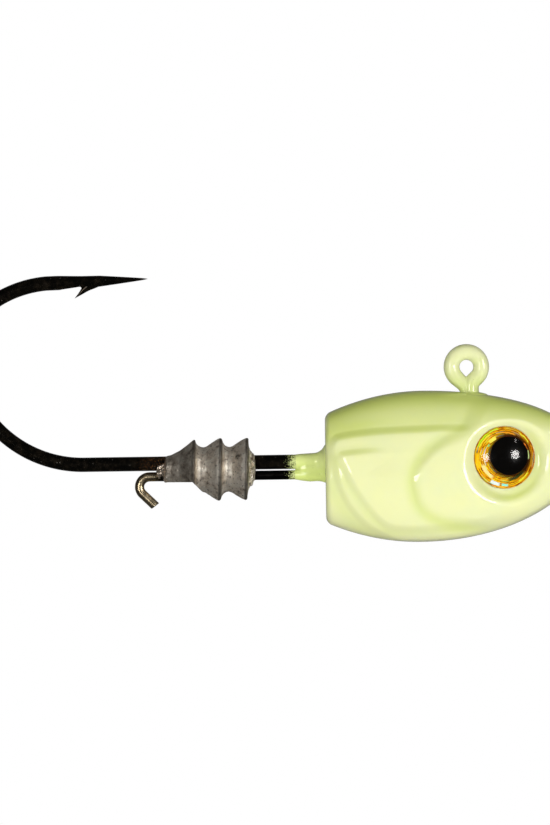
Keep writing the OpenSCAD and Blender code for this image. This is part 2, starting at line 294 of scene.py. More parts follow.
class Nodes:
    """Builds one material; sockets, numbers and colours can be mixed freely as inputs."""

    def __init__(self, name):
        self.material = bpy.data.materials.new(name)
        self.material.use_nodes = True
        self.tree = self.material.node_tree
        self.tree.nodes.clear()
        self.out = self.add("OutputMaterial")
        place = self.add("TexCoord")
        scale = self.add("VectorMath", operation="SCALE")
        self.tree.links.new(place.outputs["Object"], scale.inputs[0])
        scale.inputs["Scale"].default_value = 1 / MM
        self.mm = scale.outputs[0]

    def add(self, kind, **settings):
        node = self.tree.nodes.new("ShaderNode" + kind)
        for key, value in settings.items():
            setattr(node, key, value)
        return node

    def put(self, socket, value):
        if isinstance(value, bpy.types.NodeSocket):
            self.tree.links.new(value, socket)
        elif value is not None:
            is_colour = hasattr(socket.default_value, "__len__") and len(socket.default_value) == 4
            if is_colour and len(value) == 3:
                value = (*value, 1)
            socket.default_value = value

    def math(self, operation, a, b=None, c=None):
        node = self.add("Math", operation=operation)
        for socket, value in zip(node.inputs, (a, b, c)):
            self.put(socket, value)
        return node.outputs[0]

    def times(self, a, b):
        return self.math("MULTIPLY", a, b)

    def minus(self, a, b):
        return self.math("SUBTRACT", a, b)

    def off(self, value, middle):
        """How far a value is from the middle, whichever side it lies on."""
        return self.math("ABSOLUTE", self.minus(value, middle))

    def hypot(self, a, b):
        return self.math("SQRT", self.math("ADD", self.times(a, a), self.times(b, b)))

    def smooth(self, value, lo, hi, to_lo=0.0, to_hi=1.0):
        """Eases from to_lo at lo to to_hi at hi."""
        node = self.add("MapRange", interpolation_type="SMOOTHSTEP")
        keys = ("Value", "From Min", "From Max", "To Min", "To Max")
        for key, item in zip(keys, (value, lo, hi, to_lo, to_hi)):
            self.put(node.inputs[key], item)
        return node.outputs[0]

    def mix(self, factor, a, b, blend="MIX"):
        node = self.add("Mix", data_type="RGBA", blend_type=blend)
        self.put(node.inputs[0], factor)
        self.put(node.inputs[6], a)
        self.put(node.inputs[7], b)
        return node.outputs[2]

    def texture(self, kind, output, vector, **inputs):
        """One output of a texture, laid out in mm on the object unless a vector is given."""
        node = self.add(kind)
        for key, value in dict(Vector=vector or self.mm, **inputs).items():
            self.put(node.inputs[key], value)
        return node.outputs[output]

    def noise(self, scale, detail=2.0, rough=0.5, vector=None):
        return self.texture("TexNoise", "Fac", vector, Scale=scale, Detail=detail, Roughness=rough)

    def cells(self, scale, vector=None, output="Distance"):
        return self.texture("TexVoronoi", output, vector, Scale=scale)

    def ramp(self, factor, stops):
        node = self.add("ValToRGB")
        self.put(node.inputs[0], factor)
        items = node.color_ramp.elements
        while len(items) < len(stops):
            items.new(0.5)
        for item, (position, colour) in zip(items, stops):
            item.position, item.color = position, (*colour, 1)
        return node.outputs[0]

    def axes(self, vector=None):
        node = self.add("SeparateXYZ")
        self.put(node.inputs[0], vector or self.mm)
        return node.outputs

    def facing_up(self):
        """How far the surface faces up: 1 on top, -1 underneath."""
        return self.axes(self.add("NewGeometry").outputs["Normal"])[2]

    def value(self, name, output="Fac"):
        return self.add("Attribute", attribute_name=name).outputs[output]

    def bump(self, height, depth, normal=None):
        """Surface relief of the given depth in mm, on top of an earlier normal."""
        node = self.add("Bump")
        self.put(node.inputs["Height"], height)
        self.put(node.inputs["Distance"], depth * MM)
        self.put(node.inputs["Normal"], normal)
        return node.outputs[0]

    def principled(self, **inputs):
        """The main shader; an underscore in a name stands for a space in the socket's."""
        node = self.add("BsdfPrincipled")
        for key, value in inputs.items():
            self.put(node.inputs[key.replace("_", " ")], value)
        return node.outputs[0]

    def surface(self, **inputs):
        """The finished material, with one main shader."""
        return self.finish(self.principled(**inputs))

    def blend(self, factor, a, b):
        node = self.add("MixShader")
        for socket, value in zip(node.inputs, (factor, a, b)):
            self.put(socket, value)
        return node.outputs[0]

    def finish(self, shader):
        self.tree.links.new(shader, self.out.inputs["Surface"])
        return self.material


def dress(obj, material):
    obj.data.materials.clear()
    obj.data.materials.append(material)


# ---- materials, with colours that several of them share, and the places of the keeper's crests

# OLIVE is painted shade on the paint's upward faces, partly the paint's own deeper tone there
OLIVE = (0.62, 0.72, 0.17)
MIST = (0.60, 0.68, 0.25)
CRESTS = (-35.38, -31.92, -28.52)


def powder_coat(n, body, rough, normal, depth, radius):
    """Gloss powder coat: light sinks a little way into it, under a clear smooth skin."""
    return n.surface(
        Base_Color=body, Roughness=rough, Normal=normal, Specular_IOR_Level=0.2,
        Subsurface_Weight=depth, Subsurface_Radius=radius, Subsurface_Scale=1.0,
        Coat_Weight=1.0, Coat_Roughness=0.03, Coat_IOR=1.5)


def glow_paint():
    """Pale glow paint on the head: painted shade turns it olive where it faces up, partly the paint's
    own deeper tone there, and deeper in the grooves and eye sockets.
    """
    n = Nodes("glow_paint")
    cloud = n.noise(0.22, 3, 0.55)
    body = n.mix(n.smooth(cloud, 0.35, 0.7), (0.80, 0.825, 0.445), (0.775, 0.815, 0.46))
    # painted shade: faces turned up go olive, partly the paint's own deeper tone there
    body = n.mix(n.smooth(n.facing_up(), 0.12, 0.9), body, OLIVE)
    # painted shade in the grooves and round the eyes, read from the head's point attribute
    shade_mix = n.times(n.value("painted_shade_map"), 0.7)
    body = n.mix(shade_mix, body, (0.58, 0.68, 0.14))
    freckle = n.smooth(n.cells(1.3), 0.02, 0.06, 1.0, 0.0)
    body = n.mix(n.times(freckle, 0.12), body, (0.55, 0.58, 0.2))
    peel = n.bump(n.noise(0.9, 2, 0.4), 0.006)
    grain = n.bump(n.noise(7, 2, 0.5), 0.0012, normal=peel)
    gloss = n.smooth(n.noise(0.5, 2), 0.3, 0.7, 0.34, 0.44)
    return powder_coat(n, body, gloss, grain, 0.35, (0.0014, 0.0013, 0.0006))


def glow_coat(name, thin, thick, low, high):
    """The paint on the wires; its colour turns from thick at height low to thin at high."""
    n = Nodes(name)
    z = n.axes()[2]
    cloud = n.noise(0.7, 3, 0.5)
    body = n.mix(n.smooth(z, low, high), thick, thin)
    body = n.mix(n.times(n.smooth(cloud, 0.4, 0.75), 0.5), body, thick)
    # the ring's foot takes the olive of the head's back, which it stands on: painted shade on its
    # upward faces, partly the paint's own deeper tone
    at_foot = n.smooth(n.off(z, -3.95), 0.85, 0.5)
    foot = n.times(n.smooth(n.facing_up(), 0.12, 0.9), at_foot)
    body = n.mix(n.times(foot, 0.85), body, OLIVE)
    speck = n.smooth(n.cells(1.1), 0.03, 0.07, 1.0, 0.0)
    body = n.mix(n.times(speck, 0.5), body, (0.25, 0.25, 0.05))
    peel = n.bump(n.noise(1.6, 2, 0.5), 0.01)
    gloss = n.smooth(n.noise(2.0, 2), 0.3, 0.7, 0.3, 0.42)
    return powder_coat(n, body, gloss, peel, 0.2, (0.0008, 0.0008, 0.0004))


def overspray(n, x):
    """How much paint mist lies on a wire behind the collar, as fine dots that thin out."""
    near = n.smooth(x, -25.2, -20.9)
    edge = n.minus(0.74, n.times(near, 0.42))
    dots = n.smooth(n.minus(n.noise(5.0, 5, 0.85), edge), -0.03, 0.07)
    return n.times(dots, n.smooth(x, -25.4, -24.2))


def black_nickel():
    """Near-black plating with brown stains, a few bright specks, and scratches behind the keeper."""
    n = Nodes("black_nickel")
    x = n.axes()[0]
    stain = n.smooth(n.noise(1.1, 4, 0.6), 0.42, 0.75)
    body = n.mix(stain, (0.010, 0.009, 0.007), (0.05, 0.038, 0.026))
    speck = n.smooth(n.cells(1.7), 0.08, 0.16, 1.0, 0.0)
    rare = n.smooth(n.noise(0.8, 2), 0.48, 0.62)
    body = n.mix(n.times(speck, rare), body, (0.42, 0.38, 0.33))
    worn = n.times(n.smooth(x, -43.2, -40.6), n.smooth(x, -39.2, -38.6, 1.0, 0.0))
    scratch = n.smooth(n.noise(5.5, 3, 0.7), 0.57, 0.63)
    body = n.mix(n.times(worn, scratch), body, (0.75, 0.34, 0.14))
    mist = overspray(n, x)
    body = n.mix(mist, body, MIST)
    rough = n.smooth(n.noise(3, 3, 0.6), 0.3, 0.75, 0.10, 0.24)
    rough = n.smooth(mist, 0, 1, rough, 0.5)
    metal = n.smooth(mist, 0, 1, 0.85, 0.0)
    skin = n.bump(n.noise(1.4, 2, 0.5), 0.003)
    return n.surface(Base_Color=body, Metallic=metal, Roughness=rough, Normal=skin)


def bronze_wire():
    """Bronze tail, black in front of the keeper, with paint mist near the collar."""
    n = Nodes("bronze_wire")
    x = n.axes()[0]
    stain = n.smooth(n.noise(0.9, 2, 0.6), 0.35, 0.7)
    body = n.mix(stain, (0.50, 0.40, 0.25), (0.82, 0.68, 0.44))
    body = n.mix(n.smooth(x, -40.6, -39.4), body, (0.02, 0.018, 0.016))
    mist = overspray(n, x)
    body = n.mix(mist, body, MIST)
    rough = n.smooth(n.noise(1.0, 2), 0.3, 0.7, 0.26, 0.36)
    rough = n.smooth(mist, 0, 1, rough, 0.5)
    metal = n.smooth(mist, 0, 1, 1.0, 0.0)
    drawn = n.bump(n.noise(0.9, 1, 0.5), 0.002)
    return n.surface(Base_Color=body, Metallic=metal, Roughness=rough, Normal=drawn)


def bare_lead():
    """Mottled cast lead with painted shade on each crest and the first cone, coppery at its end bead.
    """
    n = Nodes("bare_lead")
    mottle = n.noise(0.9, 4, 0.6)
    fine = n.noise(3.0, 4, 0.65)
    body = n.ramp(mottle, [(0.3, (0.16, 0.135, 0.11)), (0.42, (0.74, 0.65, 0.54)),
                           (0.58, (1.0, 0.93, 0.81))])
    body = n.mix(n.smooth(fine, 0.55, 0.75), body, (0.75, 0.70, 0.62))
    body = n.mix(n.smooth(fine, 0.45, 0.28), body, (0.09, 0.075, 0.06))
    rough = n.smooth(mottle, 0.3, 0.7, 0.62, 0.5)
    x, y, z = n.axes()
    above = n.minus(z, KEEPER_Z)
    upright = n.minus(x, n.times(above, KEEPER_SKEW))
    # painted shade along each crest
    for crest in CRESTS:
        body = n.mix(n.smooth(n.off(upright, crest), 0.1, 0.34, 0.8, 0.0), body, (0.07, 0.06, 0.05))
    # painted shade on the first cone
    first_cone_shade = n.times(n.smooth(upright, -34.6, -36.4), n.smooth(mottle, 0.3, 0.6, 0.75, 0.45))
    body = n.mix(first_cone_shade, body, (0.22, 0.19, 0.155))
    end = n.smooth(x, -38.7, -39.2)
    body = n.mix(n.times(end, 0.8), body, (1.0, 0.84, 0.68))
    rough = n.smooth(end, 0, 1, rough, 0.24)
    cast = n.bump(n.noise(2.6, 4, 0.6), 0.05)
    pits = n.bump(n.smooth(n.cells(3.5), 0.05, 0.3), 0.012, normal=cast)
    # the mould left fine marks along the shank, which draw each highlight out round the rings
    around = n.add("CombineXYZ")
    n.put(around.inputs[1], above)
    n.put(around.inputs[2], n.times(y, -1.0))
    return n.surface(Base_Color=body, Metallic=0.92, Roughness=rough, Anisotropic=0.5,
                     Tangent=around.outputs[0], Normal=pits)


# colours that the foil's flakes take, from red to pale blue
RAINBOW = [(0.0, (0.9, 0.10, 0.02)), (0.25, (0.95, 0.55, 0.03)), (0.45, (0.95, 0.9, 0.15)),
           (0.65, (0.15, 0.75, 0.12)), (0.85, (0.10, 0.70, 0.85)), (1.0, (0.8, 0.95, 1.0))]

# painted glints of the foil, which stand in for the lamps' reflections, and two patches of painted
# shade: middle angle and half width in degrees, middle radius and half width in mm, colour and strength
PAINTED_GLINTS = [
    (140, 22, 3.62, 0.12, (0.45, 0.80, 0.02), 1.0),
    (138, 20, 3.36, 0.09, (0.95, 0.92, 0.05), 1.0),
    (112, 12, 3.66, 0.10, (0.55, 0.85, 0.05), 1.0),
    (124, 13, 2.62, 0.26, (1.0, 0.90, 0.12), 1.0),
    (143, 5, 2.45, 0.16, (0.15, 0.75, 0.25), 0.8),
    (218, 24, 2.85, 0.26, (1.0, 0.86, 0.35), 1.0),
    (249, 12, 3.40, 0.28, (0.80, 0.98, 1.0), 1.0),
    (270, 8, 3.42, 0.22, (0.30, 0.95, 0.80), 1.0),
    (262, 22, 3.86, 0.07, (1.0, 0.45, 0.05), 0.9),
    (6, 12, 2.95, 0.16, (0.75, 0.95, 0.35), 1.0),
    (27, 10, 2.90, 0.17, (1.0, 0.25, 0.02), 1.0),
    (-46, 16, 3.45, 0.12, (0.85, 0.90, 0.04), 1.0),
    (80, 20, 3.05, 0.12, (1.0, 0.42, 0.03), 0.7),
    (44, 16, 3.55, 0.10, (0.75, 0.85, 0.05), 0.9),
    (186, 20, 3.40, 0.30, (1.0, 0.62, 0.01), 0.9),
    (-60, 26, 2.80, 0.22, (0.02, 0.05, 0.01), 0.9),
    (70, 24, 2.66, 0.20, (0.06, 0.015, 0.004), 0.9),
]


def gold_foil():
    """Holographic gold film: dashed rings, coloured flakes, painted glints, and painted light and shade
    across it, dark beside the pupil.
    """
    n = Nodes("gold_foil")
    u, w, _ = n.axes(n.value("eye_xy", "Vector"))
    radius = n.hypot(u, w)
    angle = n.times(n.math("ARCTAN2", w, u), 180 / math.pi)
    polar = n.add("CombineXYZ")
    n.put(polar.inputs[0], n.times(angle, 0.035))
    n.put(polar.inputs[1], n.times(radius, 6.0))
    dashes = n.noise(1.6, 3, 0.6, vector=polar.outputs[0])
    body = n.ramp(dashes, [(0.36, (0.14, 0.035, 0.001)), (0.44, (0.72, 0.24, 0.002)),
                           (0.50, (1.0, 0.46, 0.002)), (0.62, (1.0, 0.82, 0.02))])
    hue_pick, flake_pick, _ = n.axes(n.cells(1.4, vector=polar.outputs[0], output="Color"))
    flake = n.times(n.smooth(flake_pick, 0.72, 0.88), 0.6)
    body = n.mix(flake, body, n.ramp(hue_pick, RAINBOW))
    # painted light and shade: the foil is bright at the left and darkens to the right and towards the
    # pupil
    to_left = n.math("COSINE", n.math("RADIANS", n.minus(angle, 200.0)))
    dark = n.mix(n.smooth(radius, 3.5, 2.8), (0.66, 0.46, 0.30), (0.10, 0.05, 0.03))
    body = n.mix(n.smooth(to_left, -0.9, 0.4), n.mix(1.0, body, dark, "MULTIPLY"), body)
    rings = n.math("SINE", n.times(radius, 22.0))
    body = n.mix(n.smooth(rings, 0.55, 0.98, 0.0, 0.7), body, (0.08, 0.02, 0.001))
    halo = n.hypot(n.minus(u, PUPIL_U), n.minus(w, PUPIL_W))
    body = n.mix(n.smooth(halo, 2.95, 2.35, 0.0, 0.92), body, (0.03, 0.008, 0.001))
    wobble = n.times(n.minus(n.noise(2.5), 0.5), 0.25)
    negative = n.math("COMPARE", n.math("SIGN", angle), -1.0, 0.5)
    whole_turn = n.smooth(negative, 0, 1, 0.0, 360.0)
    # each painted glint lays its colour over an arc of the foil
    for middle, half, at, wide, colour, strength in PAINTED_GLINTS:
        turn = n.minus(angle, middle)
        if middle > 180:
            turn = n.math("ADD", turn, whole_turn)
        along = n.smooth(n.math("ABSOLUTE", turn), half * 0.6, half, 1.0, 0.0)
        away = n.math("ABSOLUTE", n.math("ADD", n.minus(radius, at), wobble))
        across = n.smooth(away, wide * 0.6, wide, 1.0, 0.0)
        painted_glint = n.times(n.times(along, across), strength)
        body = n.mix(painted_glint, body, colour)
    body = n.mix(n.smooth(radius, 3.84, FOIL_R), body, (0.20, 0.09, 0.006))
    press = n.bump(dashes, 0.006, normal=n.bump(rings, 0.004))
    # the faint glow stands in for the light that a holographic film throws straight back
    return n.surface(Base_Color=body, Roughness=0.6, Specular_IOR_Level=0.0, Normal=press,
                     Emission_Color=body, Emission_Strength=0.42)


def pupil_ink():
    n = Nodes("pupil_ink")
    cloud = n.noise(1.2, 3)
    body = n.mix(cloud, (0.0004, 0.0004, 0.0004), (0.0016, 0.001, 0.0006))
    rough = n.smooth(n.noise(3), 0.3, 0.7, 0.3, 0.5)
    grain = n.bump(n.noise(6), 0.004)
    return n.surface(Base_Color=body, Roughness=rough, Specular_IOR_Level=0.02, Normal=grain)


def clear_resin():
    """Poured resin, which casts no shadow on the foil under it."""
    n = Nodes("clear_resin")
    rough = n.smooth(n.noise(1.5, 3), 0.45, 0.75, 0.12, 0.15)
    tint = n.mix(n.noise(0.4, 2), (1.0, 1.0, 0.985), (0.99, 0.985, 0.95))
    cast = n.bump(n.noise(0.8, 2), 0.0012)
    resin = n.principled(Base_Color=tint, Roughness=rough, IOR=1.55, Transmission_Weight=1.0,
                         Normal=cast)
    clear = n.add("BsdfTransparent").outputs[0]
    shadow = n.add("LightPath").outputs["Is Shadow Ray"]
    return n.finish(n.blend(shadow, resin, clear))


def adhesive_foam():
    n = Nodes("adhesive")
    pores = n.cells(6)
    body = n.mix(n.smooth(pores, 0.1, 0.5), (0.45, 0.42, 0.36), (0.78, 0.76, 0.70))
    return n.surface(Base_Color=body, Roughness=0.8, Normal=n.bump(pores, 0.03))


def floor_card():
    n = Nodes("floor_card")
    fibre = n.noise(0.15, 4, 0.6)
    body = n.mix(fibre, (0.80, 0.80, 0.79), (0.85, 0.85, 0.845))
    return n.surface(Base_Color=body, Roughness=0.7, Normal=n.bump(fibre, 0.05),
                     Emission_Color=(1, 1, 0.99), Emission_Strength=0.28)


# ---- head


def spline(points, per=12):
    """A smooth curve through the points."""
    pts = np.asarray(points, float)
    ends = np.vstack([2 * pts[0] - pts[1], pts, 2 * pts[-1] - pts[-2]])
    out = []
    for i in range(len(pts) - 1):
        a, b, c, d = ends[i:i + 4]
        t = np.linspace(0, 1, per, endpoint=False)[:, None]
        out.append(0.5 * (2 * b + (c - a) * t + (2 * a - 5 * b + 4 * c - d) * t ** 2
                          + (3 * b - a - 3 * c + d) * t ** 3))
    return np.vstack(out + [pts[-1:]])


def line_distance(x, z, curve):
    """Distance from each point to an open curve, and how far along the curve the nearest point is."""
    best = np.full(x.shape, 1e9)
    where = np.zeros(x.shape)
    steps = np.linalg.norm(np.diff(curve, axis=0), axis=1)
    start = np.concatenate([[0], np.cumsum(steps)])
    for i, (a, b) in enumerate(zip(curve[:-1], curve[1:])):
        way = b - a
        t = np.clip(((x - a[0]) * way[0] + (z - a[1]) * way[1]) / max(way @ way, 1e-12), 0, 1)
        d = np.hypot(x - a[0] - t * way[0], z - a[1] - t * way[1])
        closer = d < best
        best = np.where(closer, d, best)
        where = np.where(closer, start[i] + t * steps[i], where)
    return best, where / start[-1]


def inside(x, z, outline):
    """Which points lie within a closed outline."""
    hit = np.zeros(x.shape, bool)
    for a, b in zip(outline, np.roll(outline, -1, axis=0)):
        crosses = (a[1] > z) != (b[1] > z)
        span = b[1] - a[1] if b[1] != a[1] else 1e-9
        hit ^= crosses & (x < (b[0] - a[0]) * (z - a[1]) / span + a[0])
    return hit


# edges raised on each flank, as (x, z) in the side view: two scale plates, gill cover and cheek
LOWER_TOP = [(-17.5, -9.9), (-17.15, -9.15), (-16.3, -8.72), (-12, -8.2), (-6.09, -7.94),
             (-2.22, -7.87), (3, -7.9), (20, -7.9)]
LOWER_SIDE = [(-17.5, -11.2), (-17.3, -12.3), (-16.95, -13.9), (-16.45, -15.5), (-15.7, -17.1),
              (-14.7, -18.6), (-13.4, -20.0), (-12.0, -21.1), (-10.5, -21.95), (-9, -22.8), (-7, -24.5)]
UPPER_TOP = [(-16.5, -11.35), (-15.9, -10.98), (-12.32, -10.69), (-8, -10.55), (-3, -10.5), (3, -10.5),
             (20, -10.5)]
UPPER_SIDE = [(-16.45, -11.8), (-16.21, -12.3), (-15.09, -14.65), (-13.70, -16.86), (-12.44, -18.56),
              (-11.17, -19.87), (-10.02, -20.55), (-8, -20.75), (-2.53, -20.55), (3, -20.5),
              (10, -21.5), (20, -23)]
GILL = [(3.6, -2.6), (1.79, -4.57), (0.37, -7.13), (-0.55, -8.47), (-3.41, -10.04), (-5.24, -11.63),
        (-6.43, -13.69), (-6.46, -15.75), (-5.59, -17.84), (-3.54, -19.20), (-0.71, -19.76),
        (1.99, -20.06), (4.32, -19.95), (6.5, -20.15), (9, -20.9), (12, -23)]
CHEEK = [(-1.2, -11.6), (-2.04, -13.55), (-2.0, -15.2), (-1.18, -16.53), (0.2, -17.6)]

# how far each of them stands out or sinks in
LOWER_STEP, UPPER_STEP, FACE_STEP = 0.40, 0.30, 0.66
GROOVE_DEPTH, CREASE_DEPTH = 0.22, 0.05


def plate(x, z, top, side, corner, width):
    """From 0 outside to 1 inside a scale plate, with its signed distance from the edge."""
    edge = np.vstack([spline(top)[::-1], [corner], spline(side)])
    outline = np.vstack([edge, [(20, -30)]])
    far, _ = line_distance(x, z, edge)
    signed = np.where(inside(x, z, outline), far, -far)
    return smooth01(signed, -width, width), signed


def relief(x, z):
    """How far each flank stands out at (x, z), and how much painted shade lies there."""
    low, low_d = plate(x, z, LOWER_TOP, LOWER_SIDE, (-17.56, -10.5), 0.6)
    high, high_d = plate(x, z, UPPER_TOP, UPPER_SIDE, (-16.56, -11.55), 0.55)
    gill = spline(GILL)
    outline = np.vstack([gill, [(30, -23), (30, 0), (6, 0)]])
    far, along = line_distance(x, z, gill)
    gill_d = np.where(inside(x, z, outline), far, -far)
    under_eye = smooth01(x, 0.5, 5.5) * smooth01(z, -13, -15)
    width = 0.5 + smooth01(along, 0.42, 0.08) * 0.9 + under_eye * 1.4
    face = smooth01(gill_d / width, -1, 1)
    body = 1 - face
    groove = bell(gill_d, -0.75, 0.8) * smooth01(along, 0.03, 0.38) * smooth01(x, 5.0, -2.0)
    # the plates fade out towards the nose, and the upper one is sharp only at its rear and lower edges
    fade = smooth01(x, 5.0, -3.0)
    side_edge = np.maximum(smooth01(x, -9.5, -14.5), smooth01(z, -11.3, -14.5))
    step = (LOWER_STEP * low + UPPER_STEP * high * (0.15 + 0.85 * side_edge)) * fade
    face_step = FACE_STEP * face * (0.45 + 0.55 * smooth01(z, -3.5, -9))
    cheek, at = line_distance(x, z, spline(CHEEK))
    cheek_crease = bell(cheek, 0, 0.6) * smooth01(at, 0, 0.3) * smooth01(at, 1, 0.7)
    out = step * body + face_step - GROOVE_DEPTH * groove
    out = out - CREASE_DEPTH * bell(high_d, -0.6, 0.6) * body * side_edge - CREASE_DEPTH * cheek_crease
    ledge = bell(low_d, -0.9, 1.2) * body * fade
    above = (0.45 + 0.4 * smooth01(x, -8, -15)) * smooth01(z, -11, -9)
    # painted shade in the gill groove, along the upper plate's edge and on the ledge by the lower plate
    painted_shade = 0.65 * groove + 0.3 * bell(high_d, -0.5, 0.6) * body * side_edge * fade
    painted_shade = painted_shade + ledge * (0.40 * smooth01(z, -9.5, -11.5) + above)
    return out, np.clip(painted_shade, 0, 1)


def section(x, shrink=0.0, scale=1.0):
    """One station of the head: x, half height, half width, middle's height, scale of the rear face."""
    d = abs(x - WIDEST_X)
    if x < WIDEST_X:
        return (x, HALF_HEIGHT - HEIGHT_TAPER * d * d - shrink,
                HALF_WIDTH - WIDTH_TAPER * d * d - shrink, CENTRE_Z - CENTRE_FALL * d, scale)
    nose = math.sqrt(max(0, 1 - (d / NOSE_LENGTH) ** 2))
    return x, HALF_HEIGHT * nose, HALF_WIDTH * nose, CENTRE_Z + CENTRE_RISE * d * d, scale


def head_sections():
    """Stations from the middle of the rear face, round its edge and along the head to the nose."""
    rows = [section(REAR_X, REAR_ROUND, s)
            for s in np.concatenate([np.linspace(0.03, 0.62, 20), np.linspace(0.66, 0.985, 8)])]
    for t in np.radians(np.linspace(0, 90, 9)):
        rows.append(section(REAR_X + REAR_ROUND * (1 - math.cos(t)), REAR_ROUND * (1 - math.sin(t))))
    before, nose_from = -8, 9.5
    first = math.asin((nose_from - WIDEST_X) / NOSE_LENGTH)
    nose = WIDEST_X + NOSE_LENGTH * np.sin(np.linspace(first, math.radians(89.4), 34)[1:])
    stations = np.concatenate([np.linspace(REAR_X + REAR_ROUND, before, 56)[1:],
                               np.linspace(before, WIDEST_X, 13)[1:-1],
                               np.linspace(WIDEST_X, nose_from, 102), nose])
    rows += [section(x) for x in stations]
    return np.array(rows)


def eye_axes(side):
    """Middle of the socket's floor and the eye's outward and forward directions; right is -1."""
    out = np.array([math.sin(EYE_TURN), side * math.cos(EYE_TURN), 0])
    ahead = np.array([math.cos(EYE_TURN), -side * math.sin(EYE_TURN), 0])
    return np.array([EYE_X, side * EYE_FLOOR, EYE_Z]), out, ahead


def unit_section():
    """One ring of the head as (across, up) from -1 to 1: up its right side and down its left."""
    up = np.sin(np.linspace(-math.pi / 2, math.pi / 2, 189))
    right = np.column_stack([-(1 - np.abs(up) ** POWER).clip(0) ** (1 / POWER), up])
    left = np.column_stack([-right[1:-1, 0], up[1:-1]])[::-1]
    return np.vstack([right, left])


def scoop_sockets(x, y, z, painted_shade):
    """Presses the socket round each eye into the skin, with painted shade at its front."""
    side = np.where(y < 0, -1.0, 1.0)
    for way in (-1, 1):
        middle, out, ahead = eye_axes(way)
        rel = np.stack([x - middle[0], y - middle[1], z - middle[2]], -1)
        h, u, w = rel @ out, rel @ ahead, rel[..., 2]
        rho = np.hypot((u - SCOOP_AHEAD) / 0.95, (w + SCOOP_DOWN) / 1.03)
        limit = soft_max((rho - SCOOP_R) * SCOOP_SLOPE, np.zeros_like(rho), 0.2)
        mine = (side == way) & (h > -2.5)
        rim = 0.3 + 0.25 * smooth01(-w, -1.0, 2.5) + 0.25 * smooth01(u, 0, 3.5)
        drop = np.where(mine, soft_min(h, limit, rim) - h, 0)
        x, y, z = x + drop * out[0], y + drop * out[1], z + drop * out[2]
        # painted shade on the socket's floor, strongest ahead of the eye
        socket_shade = smooth01(rho, 5.6, SCOOP_R) * (0.12 + 0.55 * smooth01(u - 0.35 * w, 0.0, 4.0))
        painted_shade = np.maximum(painted_shade, np.where(mine & (drop < -0.05), socket_shade, 0))
    return x, y, z, painted_shade


def build_head():
    x, half_height, half_width, centre, scale = head_sections().T[:, :, None]
    unit = unit_section()
    x = np.repeat(x, len(unit), 1)
    y = half_width * unit[:, 0] * scale
    z = centre + half_height * unit[:, 1] * scale
    raised, painted_shade = relief(x, z)
    flank = smooth01(np.abs(y), 0.2, 2.2) * smooth01(scale, 0.75, 1.0)
    rear_fade = smooth01(x, REAR_X + 0.05, REAR_X + 0.9)
    y = y + np.where(y < 0, -1.0, 1.0) * raised * flank * rear_fade
    # the flare of lead that runs from the rear face onto the wires
    flare = 0.2 * np.exp(-(np.hypot(y, z - NUB_Z) - 1.2).clip(0) / 0.4)
    x = x - np.where(x < REAR_X + 0.02, flare, 0)
    x, y, z, painted_shade = scoop_sockets(x, y, z, painted_shade * flank)
    head = closed_rings("head_casting_paint", np.stack([x, y, z], -1))
    # the painted shade goes to the paint as a point attribute
    attribute(head, "painted_shade_map", np.concatenate([painted_shade.ravel(), [0, 0]]))
    for way in (-1, 1):
        seat = lathe("cutter", [(SEAT_R, -0.25), (SEAT_R, 0.6)], *eye_axes(way), 128)
        combine(head, seat, "DIFFERENCE")
    shade(head, 50)
    dress(head, glow_paint())
    return head


def lathe(name, profile, middle, out, ahead, sides):
    """Turns (radius, height) pairs about an axis; the ends close on the axis."""
    up = np.cross(out, ahead)
    turn = circle(sides)
    rings = np.array([[middle + out * h + r * (ahead * math.cos(t) + up * math.sin(t)) for t in turn]
                      for r, h in profile])
    return closed_rings(name, rings)


# ---- hook, wire and keeper


# the hook's point limb: distance from the bend's end and radius, to the needle's tip
LIMB = np.array([(0, 0.93), (2.9, 0.77), (5.3, 0.71), (7.5, 0.49), (9.2, 0.315), (10.5, 0.175),
                 (11.1, 0.09), (11.45, 0.015)])


def ring_path(ring_step, neck_step):
    """The line-tie ring and the neck that brings it to the riser."""
    return join_path(arc((0, 0), RING_R, RING_FROM, RING_TO, ring_step),
                     arc(NECK_AT, NECK_R, 132, 180, neck_step))


def hook_path():
    """The whole hook as (x, z, radius), from the ring to the point."""
    bend_r, shank_end = 3, -49.5
    bend_at = (RISER_X - bend_r, SHANK_Z + bend_r)
    bend = arc(bend_at, bend_r, 0, -90)
    lower = arc((shank_end, 3.37), 15.3, 270, 193.6)
    back = arc((-55.62, 1.89), 9, 193.6, 118)
    upper = arc((-52.9, -3.23), 14.8, 118, 88.1)
    path = join_path(ring_path(0.16, 0.12), line((RISER_X, NECK_AT[1]), (RISER_X, bend_at[1])), bend,
                     line((bend_at[0], SHANK_Z), (shank_end, SHANK_Z), 0.5), lower, back, upper)
    limb_from, needle_from, tip = upper[-1], 10.5, LIMB[-1, 0]
    reach = np.concatenate([np.linspace(0.15, needle_from, 70),
                            np.linspace(needle_from + 0.1, tip, 12)])
    limb = limb_from + reach[:, None] * direction(LIMB_TURN)
    radius = np.interp(reach, LIMB[:, 0], LIMB[:, 1])
    whole = np.vstack([thick(path, HOOK_R), np.column_stack([limb, radius])])
    # ease the corner where the bend meets the point limb
    for _ in range(60):
        near = np.where(np.abs(whole[:, 0] - limb_from[0]) < 1.6)[0]
        near = near[whole[near, 1] > 5]
        whole[near, :2] = (whole[near - 1, :2] + 2 * whole[near, :2] + whole[near + 1, :2]) / 4
    return whole


